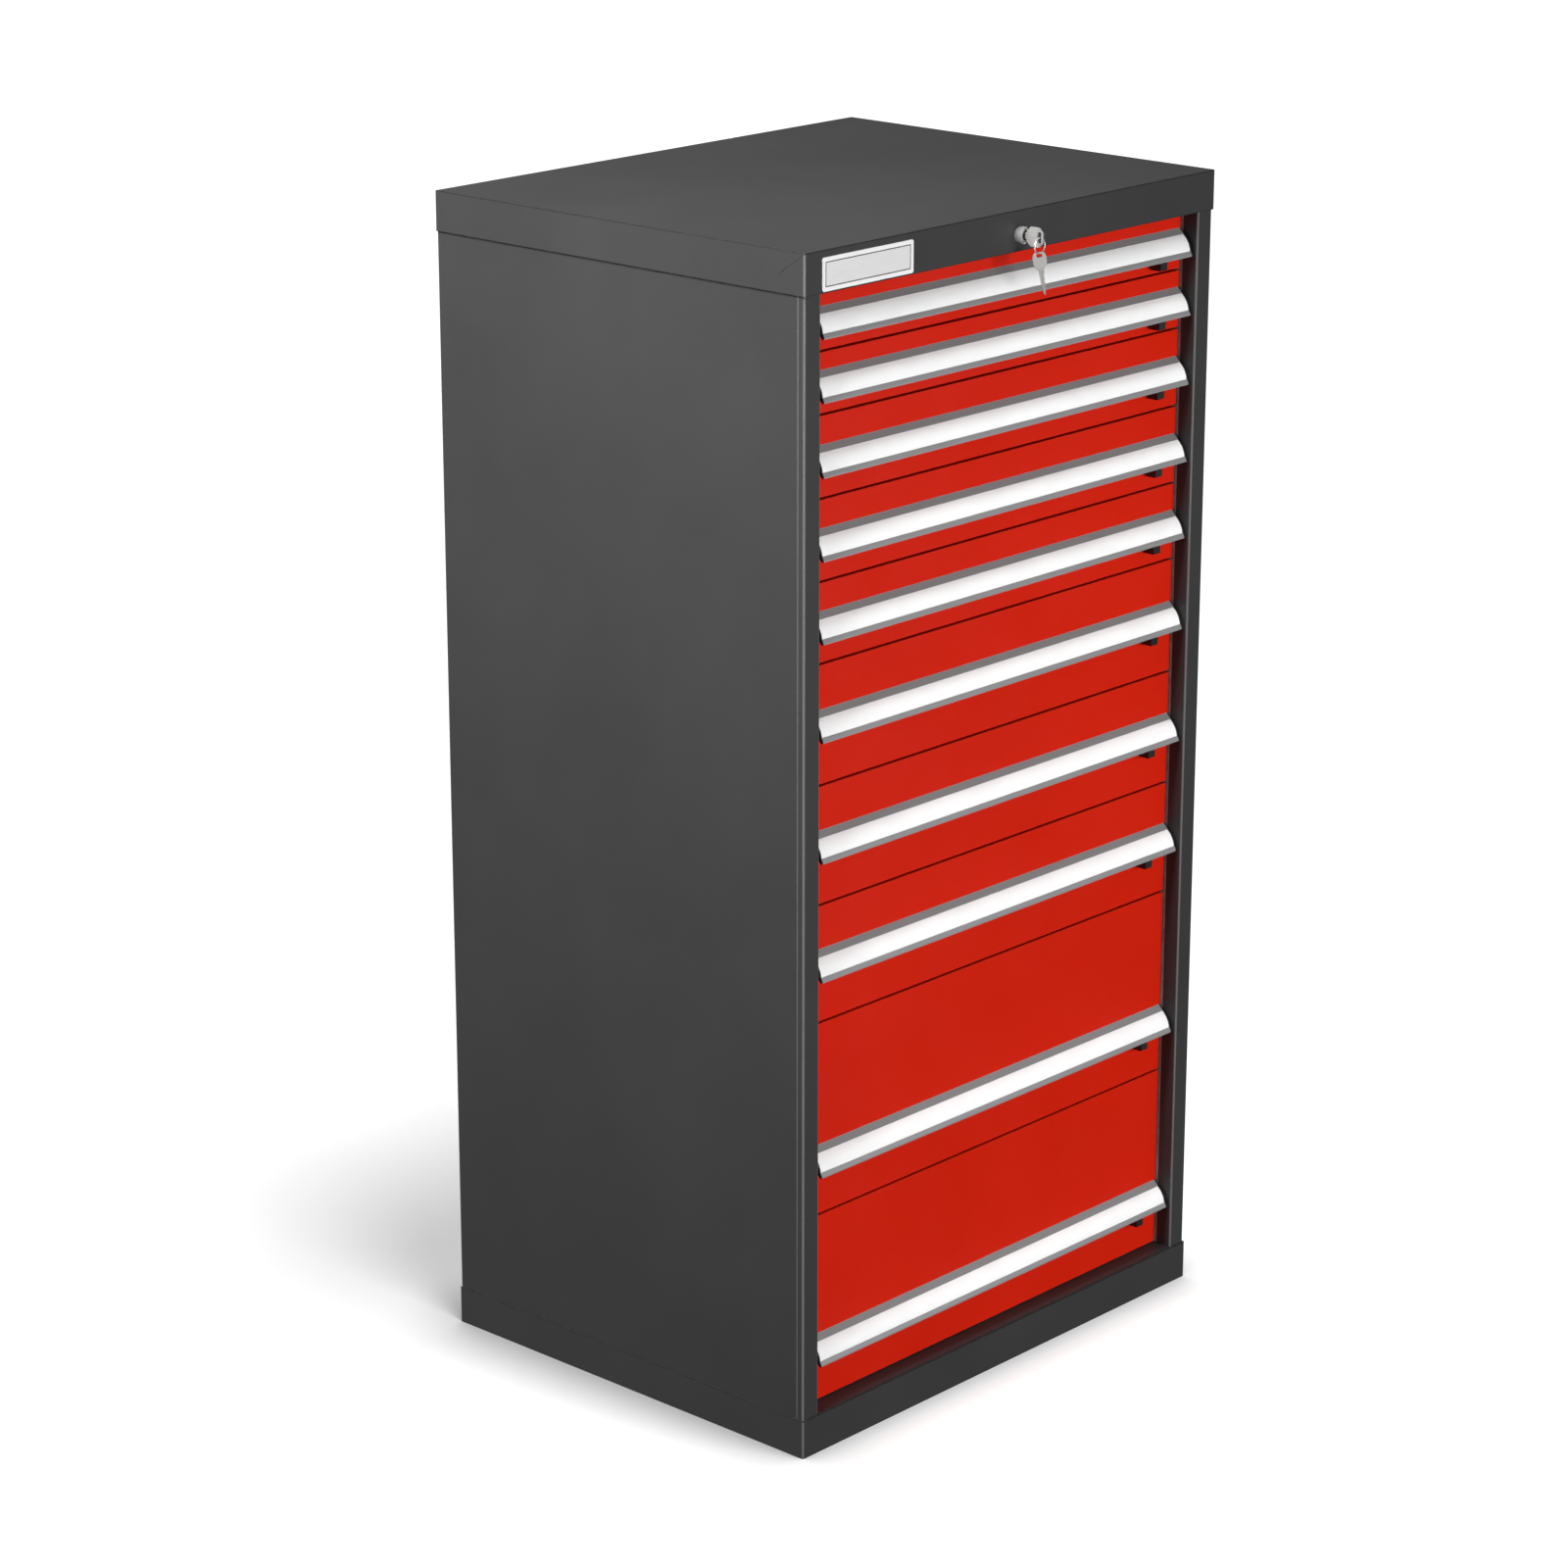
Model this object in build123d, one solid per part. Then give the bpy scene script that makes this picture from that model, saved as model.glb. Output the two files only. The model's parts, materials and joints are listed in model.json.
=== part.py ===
"""Ten-drawer modular tool cabinet: flat plinth, full-extension slides, thumb catches, one central lock.

Millimetres. +X is to the right as seen from the front, the drawers open towards -Y, and +Z is up.
The origin is on the floor, under the middle of the whole object, key included.
"""
from build123d import *
import os
from math import atan2, degrees, hypot

# ---- driving dimensions ----
WIDTH = 762.0  # cover and plinth
DEPTH = 610.0
HEIGHT = 1500.0
KEY_REACH = 36.0  # how far the key stands in front of the cover
FLANGE = 50.0  # height of the cover's turned-down edge
PLINTH_HEIGHT = 50.0
OVERHANG = 2.0  # cover and plinth stand proud of the body by this
PITCHES = [75, 75, 100, 100, 100, 150, 150, 150, 250, 250]  # drawer spaces, top to bottom
SHEET = 1.5  # carcass sheet
DRAWER_SHEET = 1.2
DRAWER_GAP = 3.2  # between two drawer fronts
PAN_GAP = 1.8  # under the bottom drawer's front
FIT = 0.3  # gap between sheets that lie side by side
CUT = 1.0  # cutting shapes run past the surface they cut by this

FRONT = -(DEPTH - KEY_REACH) / 2  # front plane of cover and plinth
BACK = FRONT + DEPTH
BODY_FRONT = FRONT + OVERHANG
BODY_BACK = BACK - OVERHANG
BODY_HALF = WIDTH / 2 - OVERHANG
COVER_UNDERSIDE = HEIGHT - SHEET

SEAM_REACH = (40.0, 28.0)  # the cover's corner weld seam, back and down from its front corners
SEAM_WIDTH = 0.7
SEAM_DEPTH = 0.3
SEAM_INSET = 1.0  # the seam's middle lies this far inside the triangle it spans
COVER_EDGE_RADIUS = 1.2

POST_FACE = 28.0  # width of the corner post's front face
POST_RETURN_END = FRONT + 25.0  # where the post's inner side stops
OPENING_HALF = BODY_HALF - POST_FACE
POST_BEND = 2.5
SIDE_SHEET_START = BODY_FRONT + 10.0  # the side sheet takes over from the post here
REAR_FLANGE = 22.0
BACK_PANEL_HALF = BODY_HALF - 6.0
BACK_PANEL_TOP = COVER_UNDERSIDE - 2.0
PAN_TOP = PLINTH_HEIGHT + DRAWER_SHEET

UPRIGHT_FRONT = POST_RETURN_END + FIT
UPRIGHT_WIDTH = 40.0
UPRIGHT_TOP = 1452.0

# telescopic slides, three nested members a side; x is measured outwards, z from the slide's middle
SLIDE_LENGTH = 530.0
SLIDE_START = FRONT + 46.0
SLIDE_RISE = 32.0  # slide's middle above the drawer space's floor
SLIDE_STEEL = 1.5
FIXED_HALF_HEIGHT = 22.5
FIXED_LIP_X = OPENING_HALF - 11.5
MIDDLE_HALF_HEIGHT = 17.0
MIDDLE_WEB_X = OPENING_HALF - 3.0
MIDDLE_LIP_X = OPENING_HALF - 10.5
INNER_HALF_HEIGHT = 11.5
INNER_LIP_X = OPENING_HALF - 6.5

# drawers
FRONT_HALF = OPENING_HALF - 2.0
FACE = FRONT + 28.0  # the drawer fronts' outer face
FACE_DEPTH = 14.0
BOX_HALF = OPENING_HALF - 12.5
BOX_BACK = SLIDE_START + SLIDE_LENGTH
BOX_FLOOR_RISE = 10.0
BOX_TOP_DROP = 12.0
HEM_HEIGHT = 8.0
HEM_THICKNESS = 2.7
LOWEST_FRONT_CORNER = 3.5  # rounded lower corners of the bottom drawer's front

# handles: hollow-backed label holders; depth is forwards of the face, drop is below the handle's top
HANDLE_LEFT = -339.0
HANDLE_RIGHT = 346.5
HANDLE_DROP = {75: 22.0, 100: 35.5, 150: 56.0, 250: 158.0}  # handle's top below the drawer space's top
HANDLE_WALL = 1.8
LABEL_RECESS = 1.0
STRIP_EDGE = (7.0, 7.3)
LABEL_EDGE = (18.6, 27.6)
LIP_TIP = (21.0, 32.6)
LIP_BOTTOM = 34.2
LABEL_BULGE = 2.4  # how far the label panel's arc stands out from its chord
HANDLE_LEG = 16.0
HANDLE_LEG_TOP = 8.3  # drop of the inside corner between leg and panel

# thumb catches
CATCH_X = 292.0
CATCH_WIDTH = 13.0
CATCH_TRAVEL = 6.0
CATCH_BELOW_LIP = 10.5
CATCH_HEIGHT = 20.0
CATCH_FRONT = FRONT + 8.0
CATCH_NECK = FACE - 10.5  # the lever is slimmer behind the handle
CATCH_BACK = FACE - 0.4
LATCH_ROD_TIP = FRONT_HALF + 1.3
LATCH_ROD_Y = FACE + 4.5
LATCH_ROD = 4.0
CATCH_GAP = 0.5  # round the catch, and where its parts are slimmer than the lever
CATCH_REAR_RADIUS = 6.0
CATCH_FRONT_RADIUS = 1.2
CATCH_STEM_RISE = 12.0  # the stem's middle above the lever's lower end

# lock, its key and the bar that holds every drawer
LOCK_X = 0.0
LOCK_Z = 1470.0
LOCK_HEAD_RADIUS = 10.3
LOCK_HEAD_BEVEL = 2.0
LOCK_PROUD = 9.0
LOCK_BODY_RADIUS = 8.0
LOCK_BODY_END = FRONT + 18.0
LOCK_HOLE_CLEARANCE = 0.2
LOCK_NUT = (11.5, 5.0)  # half width across flats, thickness
PLUG_RADIUS = 6.0
PLUG_CLEARANCE = 0.1
KEYWAY_END = FRONT + 12.0
KEYWAY_HALF_HEIGHT = 4.5
KEYWAY_CLEARANCE = 0.2
CAM_FRONT = FRONT + 20.5
CAM_THICKNESS = 2.5
CAM_HUB_RADIUS = 7.5
CAM_TIP_RADIUS = 4.5
CAM_PIN_RADIUS = 2.0
CAM_THROW = 8.0  # cam pin from the lock's axis, and the bar's lift
KEY_THICKNESS = 2.2
KEY_BOW_HALF = 12.0
KEY_BOW_START = FRONT - 11.5
KEY_BOW_CORNER = 6.0
KEY_BOW_RADIUS = 2.0
KEY_BLADE_END = FRONT + 10.0
KEY_BLADE_HALF_HEIGHT = 4.0
KEY_SLOT_RADIUS = 1.5
KEY_SLOT = (FRONT - 31.0, 5.8, 13.4)  # middle, depth and height of the hole for the ring
RING_RADIUS = 9.5
RING_WIRE = 0.7
BAR_ARM_FRONT = FRONT + 26.5
BAR_ARM_THICKNESS = 2.0
CAM_PIN_END = BAR_ARM_FRONT + BAR_ARM_THICKNESS + 1.0
BAR_ARM_HALF_HEIGHT = 9.0
BAR_ARM_END = 18.0  # beyond the lock's axis
BAR_SLOT = (4.0, 12.0, 4.6)  # left and right of the lock's axis, half height
BAR_X = -(BODY_HALF - 13.0)
BAR_THICKNESS = 3.0
BAR_EDGE = 4.0  # the bar is wider than its hooks by this, in front and behind
BAR_TAIL = 6.0  # the bar's end below its lowest hook
HOOK_FRONT = FRONT + 48.5
HOOK_RISE = 55.0
HOOK_HEIGHT = 4.0
HOOK_TIP_X = -(OPENING_HALF - 5.0)
HOOK_SLOT_MARGIN = 1.5
LUG_RISE = 60.0
LUG_HEIGHT = 6.0
LUG_FRONT = FRONT + 54.0
LUG_TIP_X = -(OPENING_HALF - 2.3)

NAMEPLATE = (-272.5, 1471.6, 157.5, 39.4)  # middle x, middle z, width, height
NAMEPLATE_THICKNESS = 0.8
NAMEPLATE_CORNER = 3.0

SCREWS = 8  # down each rear flange
SCREW_RANGE = (110.0, 1400.0)
SCREW_RADIUS = 4.0
SCREW_HEAD = 1.8
SCREW_BEVEL = 1.0

ANCHOR_X = 320.0
ANCHOR_INSET = 17.0
ANCHOR_RADIUS = 5.5
PLINTH_SHEET = 2.0
PLINTH_RAIL = 32.0


def block(x0, x1, y0, y1, z0, z1):
    """A box between two corners."""
    size = (abs(x1 - x0), abs(y1 - y0), abs(z1 - z0))
    return Pos((x0 + x1) / 2, (y0 + y1) / 2, (z0 + z1) / 2) * Box(*size)


def side_block(side, x0, x1, y0, y1, z0, z1):
    """A box on the right for side 1, or its mirror image on the left for side -1."""
    return block(side * x0, side * x1, y0, y1, z0, z1)


def rod_y(x, z, radius, y0, y1):
    """A round rod along Y."""
    return Pos(x, (y0 + y1) / 2, z) * (Rot(90, 0, 0) * Cylinder(radius, y1 - y0))


def outline_y(points, y0, y1):
    """A solid from a closed outline of (x, z) points, along Y."""
    face = Plane.XZ * make_face(Polyline(*points, close=True))
    return Pos(0, y0, 0) * extrude(face, amount=y1 - y0, dir=(0, 1, 0))


def save(name, solids):
    """Write one node, which may be several separate solids."""
    shape = solids[0] if len(solids) == 1 else Compound(children=list(solids))
    export_step(shape, f"parts/{name}.step")


def upright_edges(shape, x, y):
    """The vertical edges of a shape near one point in plan."""
    near = [e for e in shape.edges().filter_by(Axis.Z) if abs(e.center().X - x) < 0.1]
    return [e for e in near if abs(e.center().Y - y) < 0.1]


# ---- carcass ----
def top_cover():
    """Shallow sheet lid with turned-down edges, a hole for the lock and a weld seam at each front corner."""
    outer = block(-WIDTH / 2, WIDTH / 2, FRONT, BACK, HEIGHT - FLANGE, HEIGHT)
    rounded = fillet(outer.edges().filter_by(Axis.Z), POST_BEND)
    rounded = fillet(rounded.edges().group_by(Axis.Z)[-1], COVER_EDGE_RADIUS)
    inner = block(
        -WIDTH / 2 + SHEET,
        WIDTH / 2 - SHEET,
        FRONT + SHEET,
        BACK - SHEET,
        HEIGHT - FLANGE - CUT,
        COVER_UNDERSIDE,
    )
    hole_radius = LOCK_BODY_RADIUS + LOCK_HOLE_CLEARANCE
    lock_hole = rod_y(LOCK_X, LOCK_Z, hole_radius, FRONT - CUT, FRONT + SHEET + CUT)
    cover = rounded - inner - lock_hole
    back, down = SEAM_REACH
    tilt = -degrees(atan2(down, back))
    for side in (-1, 1):
        middle = Pos(side * WIDTH / 2, FRONT + back / 2 + SEAM_INSET, HEIGHT - down / 2 - SEAM_INSET)
        cover -= middle * (Rot(tilt, 0, 0) * Box(2 * SEAM_DEPTH, hypot(back, down), SEAM_WIDTH))
    return cover


def side_panel(side):
    """Side sheet, folded corner post and rear flange."""
    sheet = side_block(
        side,
        BODY_HALF - SHEET,
        BODY_HALF,
        SIDE_SHEET_START,
        BODY_BACK,
        PLINTH_HEIGHT,
        COVER_UNDERSIDE,
    )
    outer = side_block(
        side,
        OPENING_HALF,
        BODY_HALF,
        BODY_FRONT,
        POST_RETURN_END,
        PLINTH_HEIGHT,
        COVER_UNDERSIDE,
    )
    corner = upright_edges(outer, side * BODY_HALF, BODY_FRONT)
    corner += upright_edges(outer, side * OPENING_HALF, BODY_FRONT)
    outer = fillet(corner, POST_BEND)
    hollow = side_block(
        side,
        OPENING_HALF + SHEET,
        BODY_HALF - SHEET,
        BODY_FRONT + SHEET,
        POST_RETURN_END + CUT,
        PLINTH_HEIGHT - CUT,
        COVER_UNDERSIDE + CUT,
    )
    behind = side_block(
        side,
        OPENING_HALF + SHEET,
        BODY_HALF + CUT,
        SIDE_SHEET_START,
        POST_RETURN_END + CUT,
        PLINTH_HEIGHT - CUT,
        COVER_UNDERSIDE + CUT,
    )
    post = outer - hollow - behind
    flange = side_block(
        side,
        BODY_HALF - REAR_FLANGE,
        BODY_HALF - SHEET,
        BODY_BACK - SHEET,
        BODY_BACK,
        PLINTH_HEIGHT,
        COVER_UNDERSIDE,
    )
    return [sheet, post, flange]


def back_panel():
    """Plain sheet in front of the rear flanges."""
    return block(
        -BACK_PANEL_HALF,
        BACK_PANEL_HALF,
        BODY_BACK - SHEET - DRAWER_SHEET,
        BODY_BACK - SHEET,
        PAN_TOP + FIT,
        BACK_PANEL_TOP,
    )


def bottom_pan():
    """Floor sheet between the side sheets, notched round the front posts."""
    half = BODY_HALF - SHEET - FIT
    pan = block(-half, half, BODY_FRONT, BODY_BACK - SHEET - FIT, PLINTH_HEIGHT, PAN_TOP)
    for side in (-1, 1):
        pan -= side_block(
            side,
            OPENING_HALF - FIT,
            BODY_HALF,
            BODY_FRONT - CUT,
            POST_RETURN_END + FIT,
            PLINTH_HEIGHT - CUT,
            PAN_TOP + CUT,
        )
    return pan


def base_plinth():
    """Four C rails with mitred corners and anchor holes in the front and back rails' lower flanges."""
    half_w, half_d = WIDTH / 2, DEPTH / 2
    middle = (FRONT + BACK) / 2
    outer = Pos(0, middle, PLINTH_HEIGHT / 2) * Box(WIDTH, DEPTH, PLINTH_HEIGHT)
    outer = fillet(outer.edges().filter_by(Axis.Z), POST_BEND)
    well = Box(WIDTH - 2 * PLINTH_RAIL, DEPTH - 2 * PLINTH_RAIL, PLINTH_HEIGHT + 2 * CUT)
    inside = Box(WIDTH - 2 * PLINTH_SHEET, DEPTH - 2 * PLINTH_SHEET, PLINTH_HEIGHT - 2 * PLINTH_SHEET)
    ring = outer - Pos(0, middle, PLINTH_HEIGHT / 2) * well
    ring -= Pos(0, middle, PLINTH_HEIGHT / 2) * inside
    for x in (-ANCHOR_X, ANCHOR_X):
        for y in (FRONT + ANCHOR_INSET, BACK - ANCHOR_INSET):
            ring -= Pos(x, y, 0) * Cylinder(ANCHOR_RADIUS, 3 * PLINTH_SHEET)
    reach = 1.5 * PLINTH_RAIL
    rails = []
    for end in (-1, 1):
        y_out, y_in = middle + end * half_d, middle + end * (half_d - reach)
        corners = [(-half_w, y_out), (half_w, y_out), (half_w - reach, y_in), (reach - half_w, y_in)]
        rails.append(ring & extrude(make_face(Polyline(*corners, close=True)), amount=PLINTH_HEIGHT))
    for side in (-1, 1):
        x_out, x_in = side * half_w, side * (half_w - reach)
        y_out, y_in = half_d, half_d - reach
        outer_edge = [(x_out, middle - y_out), (x_out, middle + y_out)]
        corners = outer_edge + [(x_in, middle + y_in), (x_in, middle - y_in)]
        rails.append(ring & extrude(make_face(Polyline(*corners, close=True)), amount=PLINTH_HEIGHT))
    return [solid for rail in rails for solid in rail.solids()]


def slotted_upright(side, y0):
    """Galvanised channel behind the opening's edge, closed towards the drawers."""
    y1 = y0 + UPRIGHT_WIDTH
    x1 = BODY_HALF - SHEET
    channel = side_block(side, OPENING_HALF, x1, y0, y1, PAN_TOP, UPRIGHT_TOP)
    channel -= side_block(
        side,
        OPENING_HALF + SHEET,
        x1 + CUT,
        y0 + SHEET,
        y1 - SHEET,
        PAN_TOP - CUT,
        UPRIGHT_TOP + CUT,
    )
    return channel


def slotted_uprights(floors):
    """The four uprights; the lock bar's hooks reach through slots in the front left one."""
    left = slotted_upright(-1, UPRIGHT_FRONT)
    for floor in floors:
        left -= block(
            -OPENING_HALF - SHEET - CUT,
            -OPENING_HALF + CUT,
            HOOK_FRONT - HOOK_SLOT_MARGIN,
            HOOK_FRONT + BAR_THICKNESS + HOOK_SLOT_MARGIN,
            floor + HOOK_RISE - HOOK_SLOT_MARGIN,
            floor + HOOK_RISE + HOOK_HEIGHT + CAM_THROW + HOOK_SLOT_MARGIN,
        )
    rear = BOX_BACK - UPRIGHT_WIDTH
    return [left, slotted_upright(1, UPRIGHT_FRONT), slotted_upright(-1, rear), slotted_upright(1, rear)]


# ---- slides ----
def channel_rail(side, web_x, lip_x, half_height, middle_z):
    """A C-shaped slide member: a web at web_x with a lip at the top and bottom that reaches to lip_x."""
    steel = SLIDE_STEEL if web_x > lip_x else -SLIDE_STEEL
    outer = [
        (web_x, half_height),
        (lip_x, half_height),
        (lip_x, half_height - SLIDE_STEEL),
        (web_x - steel, half_height - SLIDE_STEEL),
        (web_x - steel, SLIDE_STEEL - half_height),
        (lip_x, SLIDE_STEEL - half_height),
        (lip_x, -half_height),
        (web_x, -half_height),
    ]
    points = [(side * x, middle_z + z) for x, z in outer]
    return outline_y(points, SLIDE_START, SLIDE_START + SLIDE_LENGTH)


def fixed_rails(side, floors):
    """The slides' outer members on one side."""
    return [
        channel_rail(side, OPENING_HALF, FIXED_LIP_X, FIXED_HALF_HEIGHT, floor + SLIDE_RISE)
        for floor in floors
    ]


def middle_members(floor):
    """One drawer's pair of middle slide members."""
    middle_z = floor + SLIDE_RISE
    return [
        channel_rail(side, MIDDLE_WEB_X, MIDDLE_LIP_X, MIDDLE_HALF_HEIGHT, middle_z)
        for side in (-1, 1)
    ]


# ---- drawers ----
def drawer_front(floor, top, catch_z, lowest):
    """Folded tray front, open behind, with slots for the thumb catch."""
    front = block(-FRONT_HALF, FRONT_HALF, FACE, FACE + FACE_DEPTH, floor, top)
    if lowest:
        corners = front.edges().filter_by(Axis.Y).group_by(Axis.Z)[0]
        front = fillet(corners, LOWEST_FRONT_CORNER)
    front -= block(
        DRAWER_SHEET - FRONT_HALF,
        FRONT_HALF - DRAWER_SHEET,
        FACE + DRAWER_SHEET,
        FACE + FACE_DEPTH + CUT,
        floor + DRAWER_SHEET,
        top - DRAWER_SHEET,
    )
    reach = CATCH_WIDTH / 2
    front -= block(
        CATCH_X - reach - CATCH_TRAVEL - CATCH_GAP,
        CATCH_X + reach + CATCH_GAP,
        FACE - CUT,
        FACE + DRAWER_SHEET + CUT,
        catch_z - LATCH_ROD,
        catch_z + LATCH_ROD,
    )
    front -= block(
        FRONT_HALF - DRAWER_SHEET - CUT,
        FRONT_HALF + CUT,
        LATCH_ROD_Y - LATCH_ROD,
        LATCH_ROD_Y + LATCH_ROD,
        catch_z - LATCH_ROD,
        catch_z + LATCH_ROD,
    )
    return front


def drawer_box(floor, top):
    """Box floor, two hemmed sides, back, the slides' inner members and the lug that the lock bar holds."""
    low, high = floor + BOX_FLOOR_RISE, top - BOX_TOP_DROP
    y0, inner = FACE + FACE_DEPTH, BOX_HALF - DRAWER_SHEET
    solids = [
        block(-inner, inner, y0, BOX_BACK, low, low + DRAWER_SHEET),
        block(-inner, inner, BOX_BACK - DRAWER_SHEET, BOX_BACK, low + DRAWER_SHEET, high),
    ]
    for side in (-1, 1):
        wall = [
            (BOX_HALF, low),
            (BOX_HALF, high),
            (BOX_HALF - HEM_THICKNESS, high),
            (BOX_HALF - HEM_THICKNESS, high - HEM_HEIGHT),
            (inner, high - HEM_HEIGHT),
            (inner, low),
        ]
        solids.append(outline_y([(side * x, z) for x, z in wall], y0, BOX_BACK - DRAWER_SHEET))
        solids.append(channel_rail(side, BOX_HALF, INNER_LIP_X, INNER_HALF_HEIGHT, floor + SLIDE_RISE))
    solids.append(
        block(
            LUG_TIP_X,
            -BOX_HALF,
            LUG_FRONT,
            LUG_FRONT + BAR_THICKNESS,
            floor + LUG_RISE,
            floor + LUG_RISE + LUG_HEIGHT,
        )
    )
    return solids


def handle(top):
    """Extruded label holder: a leg on the face, a sloped strip, a recessed curved panel and a thick lip."""

    def at(depth, drop):
        return (FACE - depth, top - drop)

    (x0, z0), (x1, z1) = STRIP_EDGE, LABEL_EDGE
    length = hypot(x1 - x0, z1 - z0)
    nx, nz = (z1 - z0) / length, -(x1 - x0) / length  # outwards across the label panel
    middle = ((x0 + x1) / 2 + LABEL_BULGE * nx, (z0 + z1) / 2 + LABEL_BULGE * nz)

    def inset(point, amount):
        return at(point[0] - amount * nx, point[1] - amount * nz)

    wall = LABEL_RECESS + HANDLE_WALL
    with BuildPart() as part:
        with BuildSketch(Plane.YZ):
            with BuildLine():
                Polyline(at(0, 0), at(x0, z0), inset((x0, z0), LABEL_RECESS))
                ThreePointArc(
                    inset((x0, z0), LABEL_RECESS),
                    inset(middle, LABEL_RECESS),
                    inset((x1, z1), LABEL_RECESS),
                )
                Polyline(
                    inset((x1, z1), LABEL_RECESS),
                    at(x1, z1),
                    at(*LIP_TIP),
                    at(LIP_TIP[0], LIP_BOTTOM),
                    at(LIP_TIP[0] - HANDLE_WALL, LIP_BOTTOM),
                    inset((x1, z1), wall),
                )
                ThreePointArc(inset((x1, z1), wall), inset(middle, wall), inset((x0, z0), wall))
                Polyline(
                    inset((x0, z0), wall),
                    at(HANDLE_WALL, HANDLE_LEG_TOP),
                    at(HANDLE_WALL, HANDLE_LEG),
                    at(0, HANDLE_LEG),
                    at(0, 0),
                )
            make_face()
        extrude(amount=HANDLE_RIGHT - HANDLE_LEFT)
    return Pos(HANDLE_LEFT, 0, 0) * part.part


def thumb_catch(catch_z, low):
    """Thumb lever under the handle's lip, its stem through the front, and the rod to the latch's nose."""
    half = CATCH_WIDTH / 2
    neck = low + CATCH_BELOW_LIP - CATCH_GAP
    foot = block(CATCH_X - half, CATCH_X + half, CATCH_FRONT, CATCH_BACK, low, neck)
    bottom = foot.edges().filter_by(Axis.X).group_by(Axis.Z)[0]
    foot = fillet([bottom.sort_by(Axis.Y)[-1]], CATCH_REAR_RADIUS)
    foot = fillet(foot.edges().filter_by(Axis.X).group_by(Axis.Y)[0], CATCH_FRONT_RADIUS)
    lever = foot + block(CATCH_X - half, CATCH_X + half, CATCH_NECK, CATCH_BACK, neck, low + CATCH_HEIGHT)
    rod_end = LATCH_ROD_Y + LATCH_ROD / 2
    stem = block(
        CATCH_X - half + CATCH_GAP,
        CATCH_X + half - CATCH_GAP,
        CATCH_BACK,
        rod_end,
        catch_z - LATCH_ROD / 2,
        catch_z + LATCH_ROD / 2,
    )
    rod = block(
        CATCH_X + half - CATCH_GAP,
        LATCH_ROD_TIP,
        rod_end - LATCH_ROD,
        rod_end,
        catch_z - LATCH_ROD / 2,
        catch_z + LATCH_ROD / 2,
    )
    return [lever, stem, rod]


# ---- lock ----
def lock_housing():
    """Barrel with a bevelled head, and the nut that holds it behind the cover."""
    head = rod_y(LOCK_X, LOCK_Z, LOCK_HEAD_RADIUS, FRONT - LOCK_PROUD, FRONT)
    head = chamfer(head.edges().group_by(Axis.Y)[0], LOCK_HEAD_BEVEL)
    barrel = rod_y(LOCK_X, LOCK_Z, LOCK_BODY_RADIUS, FRONT, LOCK_BODY_END)
    bore_radius = PLUG_RADIUS + PLUG_CLEARANCE
    bore = rod_y(LOCK_X, LOCK_Z, bore_radius, FRONT - LOCK_PROUD - CUT, LOCK_BODY_END + CUT)
    flats, thickness = LOCK_NUT
    nut = extrude(RegularPolygon(flats, 6, major_radius=False), amount=thickness)
    nut = Pos(LOCK_X, FRONT + SHEET + thickness, LOCK_Z) * (Rot(90, 0, 0) * nut)
    nut -= rod_y(LOCK_X, LOCK_Z, LOCK_BODY_RADIUS, FRONT, LOCK_BODY_END)
    return [head + barrel - bore, nut]


def lock_plug():
    """Turning plug with its keyway."""
    plug = rod_y(LOCK_X, LOCK_Z, PLUG_RADIUS, FRONT - LOCK_PROUD, CAM_FRONT)
    half = KEY_THICKNESS / 2 + KEYWAY_CLEARANCE
    keyway = block(
        LOCK_X - half,
        LOCK_X + half,
        FRONT - LOCK_PROUD - CUT,
        KEYWAY_END,
        LOCK_Z - KEYWAY_HALF_HEIGHT,
        LOCK_Z + KEYWAY_HALF_HEIGHT,
    )
    return plug - keyway


def lock_cam():
    """Flat cam on the plug's end with a pin that lifts the lock bar."""
    back = CAM_FRONT + CAM_THICKNESS
    hub = rod_y(LOCK_X, LOCK_Z, CAM_HUB_RADIUS, CAM_FRONT, back)
    tip = rod_y(LOCK_X + CAM_THROW, LOCK_Z, CAM_TIP_RADIUS, CAM_FRONT, back)
    low, high = LOCK_Z - CAM_TIP_RADIUS, LOCK_Z + CAM_TIP_RADIUS
    web = block(LOCK_X, LOCK_X + CAM_THROW, CAM_FRONT, back, low, high)
    pin = rod_y(LOCK_X + CAM_THROW, LOCK_Z, CAM_PIN_RADIUS, back, CAM_PIN_END)
    return hub + tip + web + pin


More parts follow.
